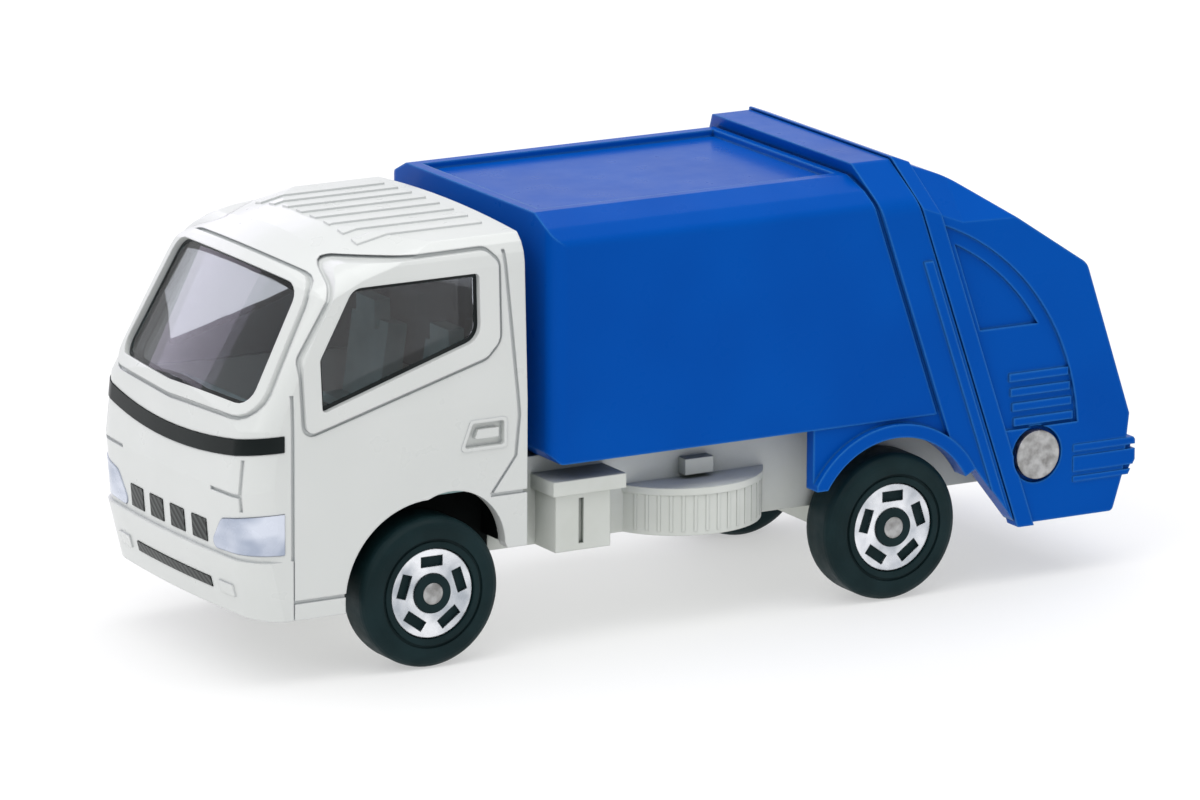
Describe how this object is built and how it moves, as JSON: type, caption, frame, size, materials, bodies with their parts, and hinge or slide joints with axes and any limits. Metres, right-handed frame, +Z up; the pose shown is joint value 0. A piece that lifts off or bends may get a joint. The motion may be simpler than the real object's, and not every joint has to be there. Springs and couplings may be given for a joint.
{
  "type": "toy garbage truck",
  "caption": "Small die-cast toy garbage truck: white cab, blue load body that tips on a pin at the tail, moulded base, free-running wheels.",
  "frame": {"origin": "on the ground, midway between nose and tail and between the sides", "axes": "+X forward, +Y to the truck's left, +Z up"},
  "size_m": [0.0754, 0.0258, 0.0332],
  "materials": {
    "white_paint": "gloss white paint on a zinc casting",
    "clear_glazing": "clear polystyrene with a faint green-grey tint",
    "grey_moulding": "satin grey plastic",
    "lamp_silver": "printed silver",
    "black_paint": "gloss black print",
    "base_moulding": "satin off-white plastic",
    "blue_paint": "gloss blue paint on a zinc casting",
    "pin_steel": "turned steel",
    "axle_steel": "drawn steel rod",
    "wheel_black": "satin black plastic",
    "wheel_silver": "hot-stamped silver"
  },
  "bodies": {
    "chassis": {"cab_shell": "white_paint", "cab_glazing": "clear_glazing", "cab_interior": "grey_moulding", "headlamp_left": "lamp_silver", "headlamp_right": "lamp_silver", "grille_band": "black_paint", "grille_panels": "black_paint", "bumper_slot": "black_paint", "base": "base_moulding"},
    "tipping_body": {"load_body": "blue_paint", "tailgate": "blue_paint", "tipping_pin": "pin_steel"},
    "front_wheelset": {"front_axle": "axle_steel", "wheel_front_left": "wheel_black", "wheel_front_right": "wheel_black", "wheel_face_front_left": "wheel_silver", "wheel_face_front_right": "wheel_silver"},
    "rear_wheelset": {"rear_axle": "axle_steel", "wheel_rear_left": "wheel_black", "wheel_rear_right": "wheel_black", "wheel_face_rear_left": "wheel_silver", "wheel_face_rear_right": "wheel_silver"}
  },
  "joints": [
    {"name": "front_axle_spin", "type": "hinge", "parent": "chassis", "child": "front_wheelset", "pos_m": [0.02245, 0, 0.0056], "axis": [0, 1, 0], "continuous": true},
    {"name": "rear_axle_spin", "type": "hinge", "parent": "chassis", "child": "rear_wheelset", "pos_m": [-0.01655, 0, 0.0056], "axis": [0, 1, 0], "continuous": true},
    {"name": "body_tip", "type": "hinge", "parent": "chassis", "child": "tipping_body", "pos_m": [-0.02905, 0, 0.0097], "axis": [0, -1, 0], "range_deg": [0, 40]}
  ]
}
